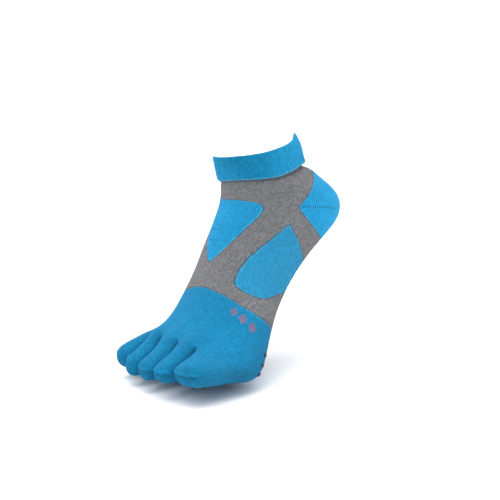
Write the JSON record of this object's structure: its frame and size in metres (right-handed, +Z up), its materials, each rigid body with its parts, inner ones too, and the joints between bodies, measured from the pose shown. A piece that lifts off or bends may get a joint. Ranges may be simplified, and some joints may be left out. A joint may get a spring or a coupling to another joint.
{
  "type": "toe sock",
  "caption": "Right-foot five-toe ankle sock with a raised heel pose, support knit, panels over instep, arch and heel, a turned cuff and grip dots.",
  "frame": {"origin": "centre of the ankle opening, where the wearer's leg carries the sock", "axes": "+Z up out of the ankle opening, -Y towards the toes, +X towards the big toe"},
  "size_m": [0.1009, 0.2009, 0.1525],
  "materials": {
    "blue_knit": "plain knit, matt",
    "grey_knit": "mesh support knit, matt",
    "cuff_knit": "ribbed double welt, matt",
    "heel_knit": "plain knit, matt",
    "instep_knit": "plain knit, matt",
    "arch_knit": "plain knit, matt",
    "grip_rubber": "printed silicone, satin"
  },
  "bodies": {
    "root": {"toe_section": "blue_knit", "foot_body": "grey_knit", "instep_panel": "instep_knit", "arch_panel": "arch_knit", "heel_pocket": "heel_knit", "cuff": "cuff_knit", "grip_dot_01": "grip_rubber", "grip_dot_02": "grip_rubber", "grip_dot_03": "grip_rubber", "grip_dot_04": "grip_rubber", "grip_dot_05": "grip_rubber", "grip_dot_06": "grip_rubber", "grip_dot_07": "grip_rubber", "grip_dot_08": "grip_rubber", "grip_dot_09": "grip_rubber", "grip_dot_10": "grip_rubber", "grip_dot_11": "grip_rubber", "grip_dot_12": "grip_rubber", "grip_dot_13": "grip_rubber", "grip_dot_14": "grip_rubber", "grip_dot_15": "grip_rubber", "grip_dot_16": "grip_rubber", "grip_dot_17": "grip_rubber", "grip_dot_18": "grip_rubber", "grip_dot_19": "grip_rubber", "grip_dot_20": "grip_rubber", "grip_dot_21": "grip_rubber", "grip_dot_22": "grip_rubber", "grip_dot_23": "grip_rubber", "grip_dot_24": "grip_rubber", "grip_dot_25": "grip_rubber", "grip_dot_26": "grip_rubber", "grip_dot_27": "grip_rubber", "grip_dot_28": "grip_rubber", "grip_dot_29": "grip_rubber", "grip_dot_30": "grip_rubber", "grip_dot_31": "grip_rubber", "grip_dot_32": "grip_rubber", "grip_dot_33": "grip_rubber", "grip_dot_34": "grip_rubber", "grip_dot_35": "grip_rubber", "grip_dot_36": "grip_rubber", "grip_dot_37": "grip_rubber", "grip_dot_38": "grip_rubber"}
  },
  "joints": []
}
